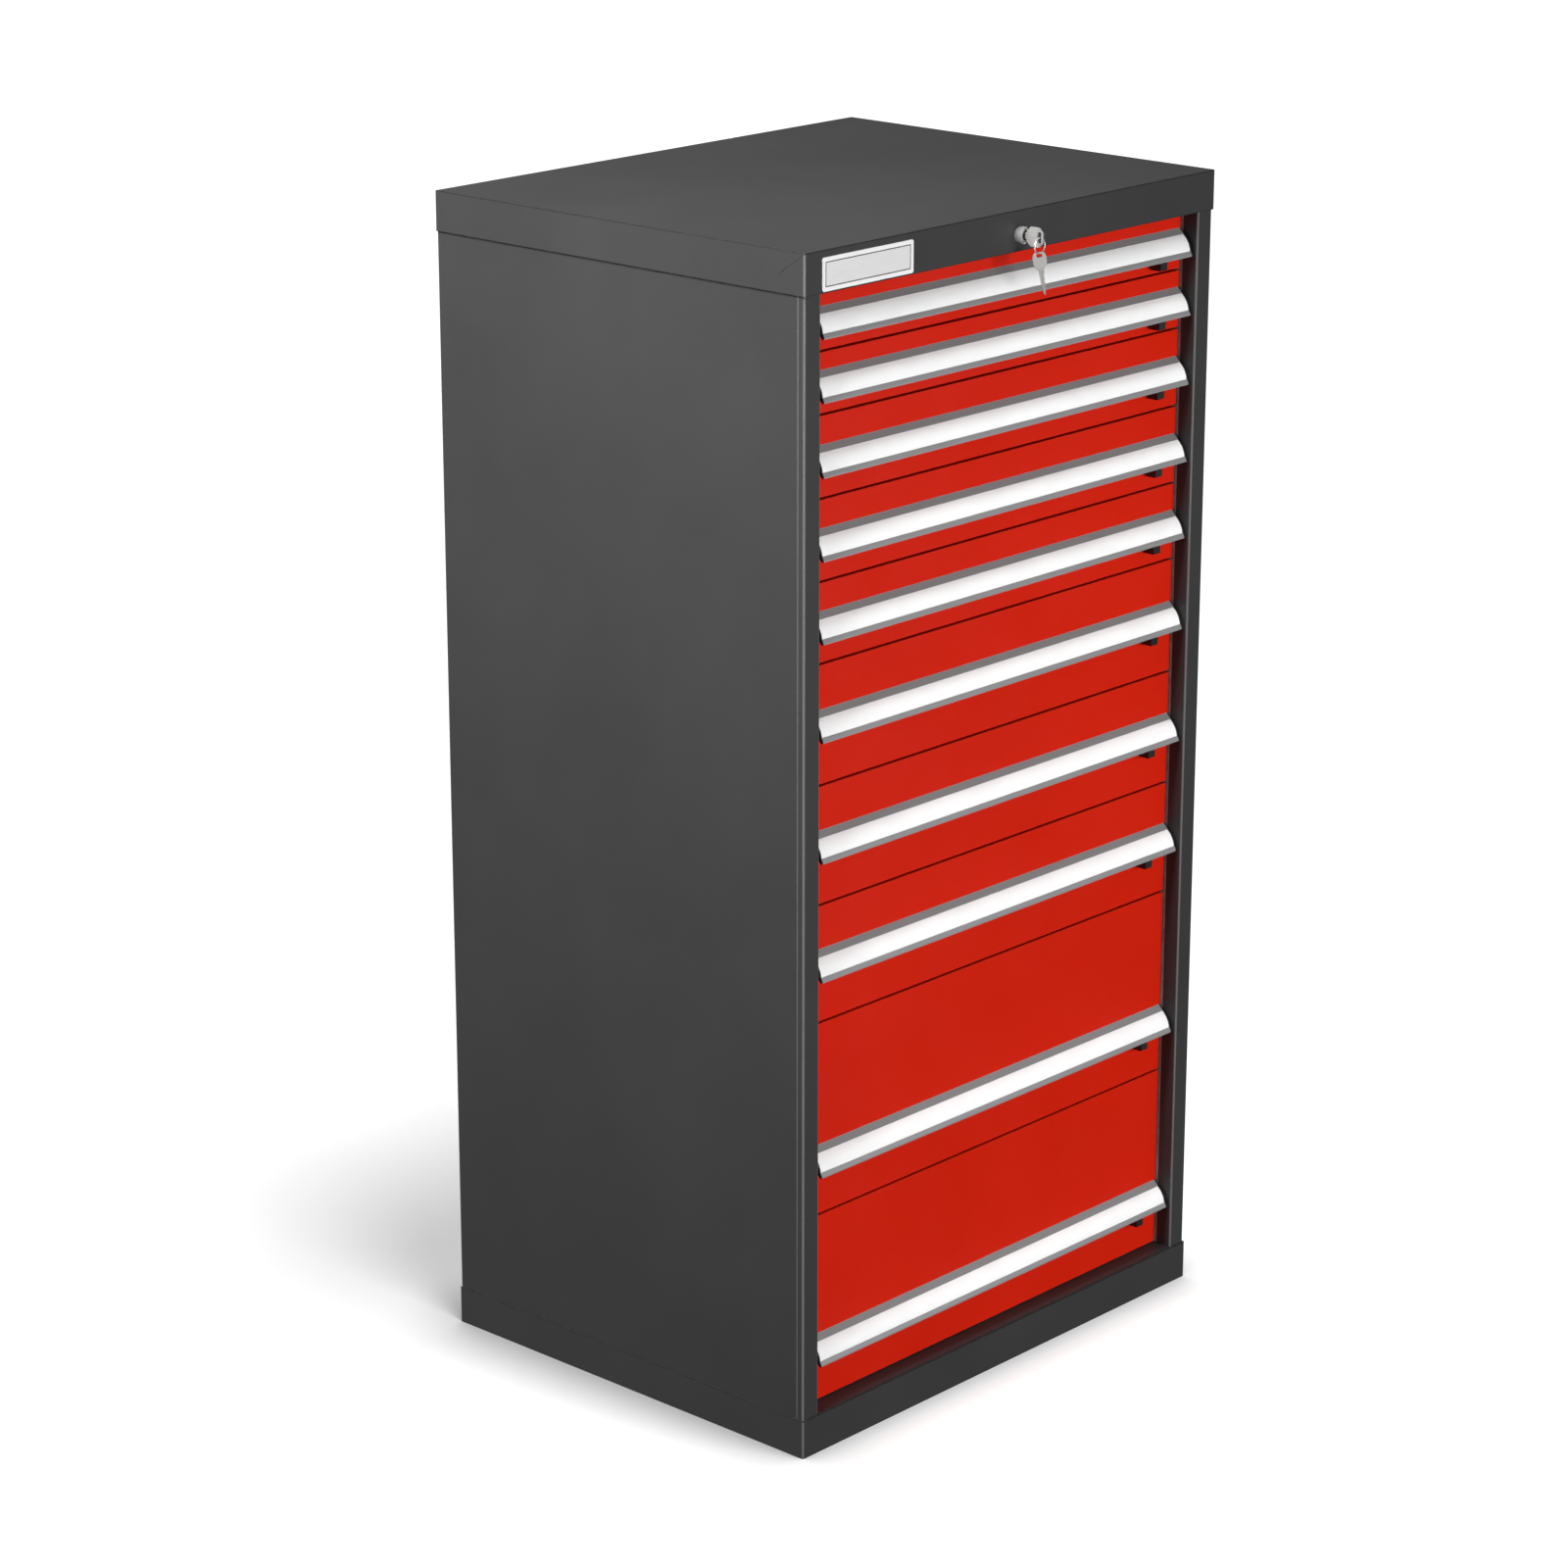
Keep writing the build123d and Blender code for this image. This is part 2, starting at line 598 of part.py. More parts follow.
def key_in_lock():
    """Flat key: blade in the keyway, eight-sided bow with a tall hole for the ring."""
    half = KEY_BOW_HALF
    start, end, corner = KEY_BOW_START, FRONT - KEY_REACH, KEY_BOW_CORNER
    bow = [
        (start, half - corner),
        (start - corner, half),
        (end + corner, half),
        (end, half - corner),
        (end, corner - half),
        (end + corner, -half),
        (start - corner, -half),
        (start, corner - half),
    ]
    face = Plane.YZ * make_face(Polyline(*[(y, LOCK_Z + z) for y, z in bow], close=True))
    plate = Pos(LOCK_X - KEY_THICKNESS / 2, 0, 0) * extrude(face, amount=KEY_THICKNESS, dir=(1, 0, 0))
    plate = fillet(plate.edges().filter_by(Axis.X), KEY_BOW_RADIUS)
    blade_half = KEY_THICKNESS / 2
    blade = block(
        LOCK_X - blade_half,
        LOCK_X + blade_half,
        KEY_BOW_START - CUT,
        KEY_BLADE_END,
        LOCK_Z - KEY_BLADE_HALF_HEIGHT,
        LOCK_Z + KEY_BLADE_HALF_HEIGHT,
    )
    middle, deep, tall = KEY_SLOT
    slot = block(
        LOCK_X - KEY_THICKNESS,
        LOCK_X + KEY_THICKNESS,
        middle - deep / 2,
        middle + deep / 2,
        LOCK_Z - tall / 2,
        LOCK_Z + tall / 2,
    )
    slot = fillet(slot.edges().filter_by(Axis.X), KEY_SLOT_RADIUS)
    return plate + blade - slot


def key_ring():
    """Wire ring through the key's bow, hanging in the plane of the lock's face."""
    centre = LOCK_Z - RING_RADIUS
    return Pos(LOCK_X, KEY_SLOT[0], centre) * (Rot(90, 0, 0) * Torus(RING_RADIUS, RING_WIRE))


def lock_bar(floors):
    """Cross arm that the cam lifts, the upright bar at the left, and one hook a drawer."""
    arm_back = BAR_ARM_FRONT + BAR_ARM_THICKNESS
    low, high = LOCK_Z - BAR_ARM_HALF_HEIGHT, LOCK_Z + BAR_ARM_HALF_HEIGHT
    arm = block(BAR_X, LOCK_X + BAR_ARM_END, BAR_ARM_FRONT, arm_back, low, high)
    left, right, half = BAR_SLOT
    arm -= block(
        LOCK_X - left,
        LOCK_X + right,
        BAR_ARM_FRONT - CUT,
        arm_back + CUT,
        LOCK_Z - half,
        LOCK_Z + half,
    )
    hook_back = HOOK_FRONT + BAR_THICKNESS
    link = block(BAR_X, BAR_X + BAR_THICKNESS, arm_back, hook_back + BAR_EDGE, low, high)
    bar = block(
        BAR_X,
        BAR_X + BAR_THICKNESS,
        HOOK_FRONT - BAR_EDGE,
        hook_back + BAR_EDGE,
        min(floors) + HOOK_RISE - BAR_TAIL,
        low,
    )
    hooks = [
        block(
            BAR_X + BAR_THICKNESS,
            HOOK_TIP_X,
            HOOK_FRONT,
            hook_back,
            floor + HOOK_RISE,
            floor + HOOK_RISE + HOOK_HEIGHT,
        )
        for floor in floors
    ]
    return [arm, link, bar, *hooks]


# ---- trim ----
def nameplate():
    """Blank plate with rounded corners."""
    x, z, width, height = NAMEPLATE
    plate = block(
        x - width / 2,
        x + width / 2,
        FRONT - NAMEPLATE_THICKNESS,
        FRONT,
        z - height / 2,
        z + height / 2,
    )
    return fillet(plate.edges().filter_by(Axis.Y), NAMEPLATE_CORNER)


def fasteners():
    """Screw heads down the two rear flanges."""
    lowest, highest = SCREW_RANGE
    screws = []
    for side in (-1, 1):
        for i in range(SCREWS):
            z = lowest + i * (highest - lowest) / (SCREWS - 1)
            x = side * (BODY_HALF - REAR_FLANGE / 2)
            head = rod_y(x, z, SCREW_RADIUS, BODY_BACK, BODY_BACK + SCREW_HEAD)
            screws.append(chamfer(head.edges().group_by(Axis.Y)[-1], SCREW_BEVEL))
    return screws


def main():
    """Build and write every node."""
    os.makedirs("parts", exist_ok=True)
    tops = [HEIGHT - FLANGE - sum(PITCHES[:i]) for i in range(len(PITCHES))]
    floors = [top - pitch for top, pitch in zip(tops, PITCHES)]

    save("top_cover", [top_cover()])
    save("side_panel_left", side_panel(-1))
    save("side_panel_right", side_panel(1))
    save("back_panel", [back_panel()])
    save("bottom_pan", [bottom_pan()])
    save("base_plinth", base_plinth())
    save("slotted_uprights", slotted_uprights(floors))
    save("fixed_rails_left", fixed_rails(-1, floors))
    save("fixed_rails_right", fixed_rails(1, floors))
    save("nameplate", [nameplate()])
    save("fasteners", fasteners())

    save("lock_housing", lock_housing())
    save("lock_plug", [lock_plug()])
    save("lock_cam", [lock_cam()])
    save("key_in_lock", [key_in_lock()])
    save("key_ring", [key_ring()])
    save("lock_bar", lock_bar(floors))

    for number, (top, floor, pitch) in enumerate(zip(tops, floors, PITCHES), start=1):
        handle_top = top - HANDLE_DROP[pitch]
        catch_low = handle_top - LIP_BOTTOM - CATCH_BELOW_LIP
        catch_z = catch_low + CATCH_STEM_RISE
        low = max(floor + DRAWER_GAP / 2, PAN_TOP + PAN_GAP)
        lowest = number == len(PITCHES)
        front = drawer_front(low, top - DRAWER_GAP / 2, catch_z, lowest)
        node = f"drawer_{number:02d}"
        save(node + "_box", [front, *drawer_box(floor, top)])
        save(node + "_handle", [handle(handle_top)])
        save(node + "_catch", thumb_catch(catch_z, catch_low))
        save(node + "_slides", middle_members(floor))


main()
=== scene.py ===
"""Looks for the modular drawer tool cabinet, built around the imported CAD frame."""

import json
import math

import bmesh
import bpy
from mathutils import Matrix, Vector


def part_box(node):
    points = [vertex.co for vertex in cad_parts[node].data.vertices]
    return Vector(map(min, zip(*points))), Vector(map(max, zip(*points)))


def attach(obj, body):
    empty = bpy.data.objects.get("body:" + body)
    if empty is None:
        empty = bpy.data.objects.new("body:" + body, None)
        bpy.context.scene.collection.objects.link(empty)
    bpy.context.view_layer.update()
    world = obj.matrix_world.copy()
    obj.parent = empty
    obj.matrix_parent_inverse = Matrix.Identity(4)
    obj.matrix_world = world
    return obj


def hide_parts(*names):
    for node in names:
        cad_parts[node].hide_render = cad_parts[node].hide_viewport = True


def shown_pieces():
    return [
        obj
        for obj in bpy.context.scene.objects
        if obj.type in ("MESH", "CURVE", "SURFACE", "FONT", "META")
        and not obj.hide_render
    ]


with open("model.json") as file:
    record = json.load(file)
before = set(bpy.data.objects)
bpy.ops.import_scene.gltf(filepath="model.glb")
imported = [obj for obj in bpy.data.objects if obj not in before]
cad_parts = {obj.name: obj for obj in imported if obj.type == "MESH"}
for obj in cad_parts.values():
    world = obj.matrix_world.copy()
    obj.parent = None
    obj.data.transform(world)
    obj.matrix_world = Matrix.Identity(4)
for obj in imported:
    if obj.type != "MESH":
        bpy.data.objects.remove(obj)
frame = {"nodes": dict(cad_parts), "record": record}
nodes = frame["nodes"]
scene = bpy.context.scene
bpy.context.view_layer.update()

MM = 0.001
# Bend lines on the carcass: a painted highlight on vertical bend edges and a painted shade along top edges.
BEND_LIGHT_REACH = 2.0 * MM  # width of the tone lines along the carcass's edges
COAT_WEAR_AND_HIGHLIGHT = 1.1 * MM  # width of the lighter tone along edges: paint wear and painted highlight
# Width of the lighter tone along metal edges: rubbed metal and painted highlight.
METAL_WEAR_AND_HIGHLIGHT = 0.6 * MM
DRAWERS = [f"drawer_{number:02d}" for number in range(1, 11)]


# ---------------------------------------------------------------- materials

def new_material(name):
    """An empty node material with its Principled shader."""
    material = bpy.data.materials.new(name)
    material.use_nodes = True
    tree = material.node_tree
    tree.nodes.clear()
    output = tree.nodes.new("ShaderNodeOutputMaterial")
    shader = tree.nodes.new("ShaderNodeBsdfPrincipled")
    tree.links.new(shader.outputs["BSDF"], output.inputs["Surface"])
    return material, tree, shader


def object_coordinates(tree, scale=(1.0, 1.0, 1.0)):
    """Object coordinates in metres, stretched by scale."""
    coordinates = tree.nodes.new("ShaderNodeTexCoord")
    mapping = tree.nodes.new("ShaderNodeMapping")
    mapping.inputs["Scale"].default_value = scale
    tree.links.new(coordinates.outputs["Object"], mapping.inputs["Vector"])
    return mapping.outputs["Vector"]


def noise(tree, vector, scale, detail=2.0, roughness=0.5):
    """Noise value from 0 to 1; scale is in waves per metre."""
    texture = tree.nodes.new("ShaderNodeTexNoise")
    texture.inputs["Scale"].default_value = scale
    texture.inputs["Detail"].default_value = detail
    texture.inputs["Roughness"].default_value = roughness
    tree.links.new(vector, texture.inputs["Vector"])
    return texture.outputs["Fac"]


def ramp(tree, value, stops):
    """Colour ramp; stops are (position, linear colour)."""
    node = tree.nodes.new("ShaderNodeValToRGB")
    elements = node.color_ramp.elements
    while len(elements) < len(stops):
        elements.new(0.5)
    for element, (position, colour) in zip(elements, stops):
        element.position = position
        element.color = (*colour, 1.0)
    tree.links.new(value, node.inputs["Fac"])
    return node.outputs["Color"]


def remap(tree, value, low, high, from_low=0.3, from_high=0.7):
    """Value stretched from [from_low, from_high] to [low, high]."""
    node = tree.nodes.new("ShaderNodeMapRange")
    node.inputs["From Min"].default_value = from_low
    node.inputs["From Max"].default_value = from_high
    node.inputs["To Min"].default_value = low
    node.inputs["To Max"].default_value = high
    tree.links.new(value, node.inputs["Value"])
    return node.outputs["Result"]


def bump(tree, height, strength, distance, below=None):
    """Bump from a height value; below is another bump's normal."""
    node = tree.nodes.new("ShaderNodeBump")
    node.inputs["Strength"].default_value = strength
    node.inputs["Distance"].default_value = distance
    tree.links.new(height, node.inputs["Height"])
    if below is not None:
        tree.links.new(below, node.inputs["Normal"])
    return node.outputs["Normal"]


def edge_mask(tree, radius):
    """Near 1 along convex edges, 0 on flat faces."""
    geometry = tree.nodes.new("ShaderNodeNewGeometry")
    bevel = tree.nodes.new("ShaderNodeBevel")
    bevel.samples = 4
    bevel.inputs["Radius"].default_value = radius
    dot = tree.nodes.new("ShaderNodeVectorMath")
    dot.operation = "DOT_PRODUCT"
    tree.links.new(geometry.outputs["Normal"], dot.inputs[0])
    tree.links.new(bevel.outputs["Normal"], dot.inputs[1])
    return remap(tree, dot.outputs["Value"], 1.0, 0.0, 0.75, 0.99)


def mix_colour(tree, factor, first, second):
    """Mix of two colours or colour sockets."""
    node = tree.nodes.new("ShaderNodeMix")
    node.data_type = "RGBA"
    tree.links.new(factor, node.inputs["Factor"])
    for name, value in (("A", first), ("B", second)):
        socket = [s for s in node.inputs if s.name == name and s.type == "RGBA"][0]
        if isinstance(value, bpy.types.NodeSocket):
            tree.links.new(value, socket)
        else:
            socket.default_value = (*value, 1.0)
    return [s for s in node.outputs if s.type == "RGBA"][0]


def multiply(tree, first, second):
    """Product of two values."""
    node = tree.nodes.new("ShaderNodeMath")
    node.operation = "MULTIPLY"
    tree.links.new(first, node.inputs[0])
    tree.links.new(second, node.inputs[1])
    return node.outputs["Value"]


def absolute(tree, value):
    """Value without its sign."""
    node = tree.nodes.new("ShaderNodeMath")
    node.operation = "ABSOLUTE"
    tree.links.new(value, node.inputs[0])
    return node.outputs["Value"]


def bend_light_masks(tree, radius):
    """Masks of the painted light lines along rounded edges, radius wide: a painted highlight on vertical bend
    edges first, then a painted shade on edges between a top face and a wall.
    """
    bevel = tree.nodes.new("ShaderNodeBevel")
    bevel.samples = 6
    bevel.inputs["Radius"].default_value = radius
    split = tree.nodes.new("ShaderNodeSeparateXYZ")
    tree.links.new(bevel.outputs["Normal"], split.inputs["Vector"])
    across = absolute(tree, multiply(tree, split.outputs["X"], split.outputs["Y"]))
    flat = multiply(tree, split.outputs["Z"], split.outputs["Z"])
    # Painted highlight where the normal turns between x and y; painted shade where it turns from up to
    # sideways.
    upright_highlight_mask = remap(tree, across, 0.0, 1.0, 0.12, 0.40)
    top_shade_rising = remap(tree, flat, 0.0, 1.0, 0.01, 0.10)
    top_shade_falling = remap(tree, flat, 1.0, 0.0, 0.90, 0.99)
    return upright_highlight_mask, multiply(tree, top_shade_rising, top_shade_falling)


def powder_coat(name, dark, light, edge_wear_and_highlight, roughness, peel, specular, bend_light_tones=None):
    """Powder coat: orange-peel bump, cloudy tone, and lighter rounded edges that are partly wear of the paint
    and partly a painted highlight; the optional bend tones paint a highlight on vertical bend edges and a
    shade along top edges.
    """
    material, tree, shader = new_material(name)
    place = object_coordinates(tree)
    clouds = noise(tree, place, 3.2, 3.0, 0.55)
    grain = noise(tree, place, 900.0, 2.0, 0.6)
    colour = ramp(tree, clouds, [(0.35, dark), (0.65, light)])
    speckle = remap(tree, grain, 0.0, 0.10, 0.45, 0.75)
    colour = mix_colour(tree, speckle, colour, light)
    # Lighter edges: partly wear of the paint, partly painted highlight.
    wear_and_highlight_mask = edge_mask(tree, COAT_WEAR_AND_HIGHLIGHT)
    colour = mix_colour(tree, wear_and_highlight_mask, colour, edge_wear_and_highlight)
    # Painted highlight and painted shade along the rounded edges.
    if bend_light_tones:
        for bend_light_mask, tone in zip(bend_light_masks(tree, BEND_LIGHT_REACH), bend_light_tones):
            colour = mix_colour(tree, bend_light_mask, colour, tone)
    tree.links.new(colour, shader.inputs["Base Color"])
    smudges = noise(tree, place, 11.0, 4.0, 0.6)
    tree.links.new(remap(tree, smudges, roughness - 0.04, roughness + 0.05), shader.inputs["Roughness"])
    waves = noise(tree, place, 420.0, 1.5, 0.5)
    normal = bump(tree, waves, peel, 0.0004)
    normal = bump(tree, grain, peel * 0.5, 0.0001, normal)
    tree.links.new(normal, shader.inputs["Normal"])
    shader.inputs["Specular IOR Level"].default_value = specular
    return material


def metal(name, dark, light, roughness, spread, scale, metallic, stretch=(1.0, 1.0, 1.0), strength=0.05,
          edge_wear_and_highlight=None):
    """Metal with drawn or cast grain; scale is in waves per metre; the optional tone for its edges is rubbed
    metal and a painted highlight.
    """
    material, tree, shader = new_material(name)
    place = object_coordinates(tree, stretch)
    grain = noise(tree, place, scale, 3.0, 0.6)
    colour = ramp(tree, grain, [(0.3, dark), (0.7, light)])
    # Lighter edges: partly rubbed metal, partly painted highlight.
    if edge_wear_and_highlight:
        colour = mix_colour(tree, edge_mask(tree, METAL_WEAR_AND_HIGHLIGHT), colour, edge_wear_and_highlight)
    tree.links.new(colour, shader.inputs["Base Color"])
    tree.links.new(remap(tree, grain, roughness - spread, roughness + spread), shader.inputs["Roughness"])
    tree.links.new(bump(tree, grain, strength, 0.0002), shader.inputs["Normal"])
    shader.inputs["Metallic"].default_value = metallic
    return material


def plastic(name, dark, light, roughness, scale=700.0, strength=0.15):
    """Moulded plastic with a fine spark-eroded grain."""
    material, tree, shader = new_material(name)
    place = object_coordinates(tree)
    grain = noise(tree, place, scale, 2.0, 0.6)
    patches = noise(tree, place, 25.0, 3.0, 0.5)
    tree.links.new(ramp(tree, patches, [(0.3, dark), (0.7, light)]), shader.inputs["Base Color"])
    tree.links.new(remap(tree, patches, roughness - 0.05, roughness + 0.05), shader.inputs["Roughness"])
    tree.links.new(bump(tree, grain, strength, 0.0001), shader.inputs["Normal"])
    return material


def spangle(name):
    """Galvanised sheet: voronoi crystals of slightly different grey."""
    material, tree, shader = new_material(name)
    place = object_coordinates(tree)
    cells = tree.nodes.new("ShaderNodeTexVoronoi")
    cells.inputs["Scale"].default_value = 130.0
    tree.links.new(place, cells.inputs["Vector"])
    split = tree.nodes.new("ShaderNodeSeparateColor")
    tree.links.new(cells.outputs["Color"], split.inputs["Color"])
    tree.links.new(ramp(tree, split.outputs["Red"], [(0.0, (0.40, 0.41, 0.42)), (1.0, (0.54, 0.55, 0.56))]),
                   shader.inputs["Base Color"])
    tree.links.new(remap(tree, split.outputs["Green"], 0.32, 0.5, 0.0, 1.0), shader.inputs["Roughness"])
    fine = noise(tree, place, 600.0, 2.0, 0.5)
    tree.links.new(bump(tree, fine, 0.08, 0.0002), shader.inputs["Normal"])
    shader.inputs["Metallic"].default_value = 0.4
    return material


def clear_sheet(name):
    """Clear flexible strip over the label, with faint waviness."""
    material, tree, shader = new_material(name)
    place = object_coordinates(tree, (0.2, 1.0, 1.0))
    waves = noise(tree, place, 60.0, 2.0, 0.5)
    tree.links.new(remap(tree, waves, 0.12, 0.2), shader.inputs["Roughness"])
    tree.links.new(bump(tree, waves, 0.1, 0.0004), shader.inputs["Normal"])
    tree.links.new(ramp(tree, waves, [(0.3, (0.93, 0.95, 0.96)), (0.7, (0.97, 0.98, 0.98))]),
                   shader.inputs["Base Color"])
    shader.inputs["Alpha"].default_value = 0.08
    return material


# Carcass coat: its lighter tone along edges is wear and painted highlight; its bend tones are a painted
# highlight on vertical bend edges and a painted shade along top edges.
charcoal = powder_coat("carcass_powder_coat", (0.034, 0.034, 0.035), (0.038, 0.038, 0.039),
                       (0.080, 0.080, 0.082), 0.50, 0.22, 0.25,
                       bend_light_tones=((0.13, 0.13, 0.132), (0.010, 0.010, 0.011)))
# Drawer coat: its lighter tone along edges is wear and painted highlight.
red = powder_coat("drawer_powder_coat", (0.585, 0.011, 0.0005), (0.62, 0.012, 0.001),
                  (0.66, 0.035, 0.013), 0.42, 0.15, 0.18)
# Handle aluminium: the lighter tone along its edges is rubbed metal and a painted highlight.
aluminium = metal("handle_anodised", (0.285, 0.285, 0.29), (0.315, 0.315, 0.32), 0.42, 0.04, 900.0, 0.3,
                  (0.02, 1.0, 1.0), 0.04, edge_wear_and_highlight=(0.55, 0.55, 0.555))
galvanised = spangle("galvanised_sheet")
# Spare key: a darker copy of the key nickel, painted shade that tones down the light it catches.
spare_key_shaded_nickel = metal("spare_key_nickel", (0.19, 0.187, 0.18), (0.27, 0.267, 0.26), 0.42, 0.06, 700.0, 0.5,
                    strength=0.06)
chrome = metal("lock_chrome", (0.66, 0.66, 0.66), (0.76, 0.76, 0.76), 0.18, 0.03, 500.0, 0.7, strength=0.02)
nickel = metal("key_nickel_plate", (0.34, 0.335, 0.325), (0.46, 0.455, 0.44), 0.38, 0.06, 700.0, 0.5,
               strength=0.06)
dark_steel = metal("lock_plug_dark", (0.05, 0.05, 0.052), (0.09, 0.09, 0.093), 0.25, 0.05, 500.0, 0.8)
plate = metal("nameplate_satin", (0.88, 0.88, 0.885), (0.95, 0.95, 0.955), 0.40, 0.05, 1200.0, 0.1,
              (0.03, 1.0, 1.0), 0.06)
plate_panel = metal("nameplate_panel", (0.72, 0.72, 0.725), (0.78, 0.78, 0.785), 0.40, 0.05, 1200.0, 0.1,
                    (0.03, 1.0, 1.0), 0.06)
plate_line = plastic("nameplate_line", (0.02, 0.02, 0.022), (0.035, 0.035, 0.038), 0.5)
black = plastic("black_moulded", (0.008, 0.008, 0.009), (0.014, 0.014, 0.015), 0.45)
card = plastic("label_card", (0.94, 0.94, 0.94), (0.985, 0.985, 0.98), 0.6, 1500.0, 0.05)
clear = clear_sheet("clear_cover_strip")

LOOKS = {
    "carcass_paint": charcoal,
    "drawer_paint": red,
    "handle_aluminium": aluminium,
    "black_plastic": black,
    "galvanised_steel": galvanised,
    "chrome": chrome,
    "key_nickel": nickel,
    "plate_aluminium": plate,
}

OWN_LOOKS = {"lock_plug": dark_steel}

slot_of = {row["node"]: row["material_slot"] for row in frame["record"]["subparts"]}
for name, node in nodes.items():
    material = OWN_LOOKS.get(name, LOOKS[slot_of[name]])
    if not node.material_slots:
        node.data.materials.append(material)
    for index in range(len(node.material_slots)):
        node.material_slots[index].material = material


# ---------------------------------------------------------------- pieces

def piece(name, material, body):
    """An empty mesh object that rides on a body, and its bmesh to fill."""
    mesh = bpy.data.meshes.new(name)
    obj = bpy.data.objects.new(name, mesh)
    scene.collection.objects.link(obj)
    mesh.materials.append(material)
    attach(obj, body)
    return obj, bmesh.new()


def close(obj, shape, smooth=False):
    """Writes a finished bmesh into its object."""
    bmesh.ops.recalc_face_normals(shape, faces=shape.faces)
    shape.to_mesh(obj.data)
    shape.free()
    for polygon in obj.data.polygons:
        polygon.use_smooth = smooth


def sweep(shape, outline, place, low, high):
    """Prism of an outline of (u, v) points; place(u, v, w) gives the point, w runs from low to high."""
    near = [shape.verts.new(place(u, v, low)) for u, v in outline]
    far = [shape.verts.new(place(u, v, high)) for u, v in outline]
    count = len(outline)
    for i in range(count):
        j = (i + 1) % count
        shape.faces.new((near[i], near[j], far[j], far[i]))
    shape.faces.new(near[::-1])
    shape.faces.new(far)


def sweep_ring(shape, outer, inner, place, low, high):
    """Frame between two outlines of the same number of points."""
    loops = []
    for outline, w in ((outer, low), (outer, high), (inner, high), (inner, low)):
        loops.append([shape.verts.new(place(u, v, w)) for u, v in outline])
    count = len(outer)
    for k in range(4):
        first, second = loops[k], loops[(k + 1) % 4]
        for i in range(count):
            j = (i + 1) % count
            shape.faces.new((first[i], first[j], second[j], second[i]))


def rounded_rectangle(middle_u, middle_v, half_u, half_v, radius, steps=6):
    """Outline of a rectangle with round corners, anticlockwise."""
    points = []
    corners = ((1, 1, 0), (-1, 1, 90), (-1, -1, 180), (1, -1, 270))
    for side_u, side_v, start in corners:
        for i in range(steps + 1):
            angle = math.radians(start + 90 * i / steps)
            points.append((middle_u + side_u * (half_u - radius) + radius * math.cos(angle),
                           middle_v + side_v * (half_v - radius) + radius * math.sin(angle)))
    return points


def arc_points(start, end, bulge, steps):
    """Points of the circular arc from start to end that stands out by bulge, to the left of the way."""
    chord = math.dist(start, end)
    along = ((end[0] - start[0]) / chord, (end[1] - start[1]) / chord)
    out = (along[1], -along[0])
    radius = (chord * chord / 4 + bulge * bulge) / (2 * bulge)
    half_angle = math.asin(chord / 2 / radius)
    points = []
    for i in range(steps + 1):
        angle = half_angle * (2 * i / steps - 1)
        run = chord / 2 + radius * math.sin(angle)
        rise = radius * math.cos(angle) - (radius - bulge)
        points.append((start[0] + along[0] * run + out[0] * rise, start[1] + along[1] * run + out[1] * rise))
    return points


# The handle's section, as (depth in front of the drawer's face, drop below the handle's top).
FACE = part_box("drawer_01_handle")[1].y
STRIP_EDGE = (7.0 * MM, 7.3 * MM)
LABEL_EDGE = (18.6 * MM, 27.6 * MM)
LIP_TIP = (21.0 * MM, 32.6 * MM)
LIP_BOTTOM = (21.0 * MM, 34.2 * MM)
LIP_INNER = (19.2 * MM, 34.2 * MM)
LEG_INNER = (1.8 * MM, 16.0 * MM)
LEG_BOTTOM = (0.0, 16.0 * MM)
LABEL_RECESS = 1.0 * MM
LABEL_BULGE = 2.4 * MM
LABEL_THICKNESS = 0.45 * MM
COVER_FROM = 0.5 * MM
COVER_TO = 0.1 * MM
LABEL_MARGIN = 0.4 * MM
CAP_THICKNESS = 2.0 * MM
ARC_STEPS = 12


def panel_arc(inset):
    """The label panel's arc, this far below the strip's and the lip's edges."""
    chord = math.dist(STRIP_EDGE, LABEL_EDGE)
    out = ((LABEL_EDGE[1] - STRIP_EDGE[1]) / chord, -(LABEL_EDGE[0] - STRIP_EDGE[0]) / chord)
    start = (STRIP_EDGE[0] - out[0] * inset, STRIP_EDGE[1] - out[1] * inset)
    end = (LABEL_EDGE[0] - out[0] * inset, LABEL_EDGE[1] - out[1] * inset)
    return arc_points(start, end, LABEL_BULGE, ARC_STEPS)


def layer(lower_inset, upper_inset):
    """Outline of a strip that lies in the panel's recess."""
    return panel_arc(lower_inset) + panel_arc(upper_inset)[::-1]


CAP_OUTLINE = [(0.0, 0.0)] + panel_arc(0.0) + [LIP_TIP, LIP_BOTTOM, LIP_INNER, LEG_INNER, LEG_BOTTOM]

for drawer in DRAWERS:
    low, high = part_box(drawer + "_handle")

    def on_handle(depth, drop, x, top=high.z):
        """Point of the handle's section, x along the handle."""
        return (x, FACE - depth, top - drop)

    label, shape = piece(drawer + "_label", card, drawer)
    sweep(shape, layer(LABEL_RECESS, LABEL_RECESS - LABEL_THICKNESS), on_handle,
          low.x + LABEL_MARGIN, high.x - LABEL_MARGIN)
    close(label, shape)
    cover, shape = piece(drawer + "_label_cover", clear, drawer)
    sweep(shape, layer(COVER_FROM, COVER_TO), on_handle, low.x, high.x)
    close(cover, shape)
    for side, cap_low in (("left", low.x - CAP_THICKNESS), ("right", high.x)):
        cap, shape = piece(f"{drawer}_end_cap_{side}", black, drawer)
        sweep(shape, CAP_OUTLINE, on_handle, cap_low, cap_low + CAP_THICKNESS)
        close(cap, shape)

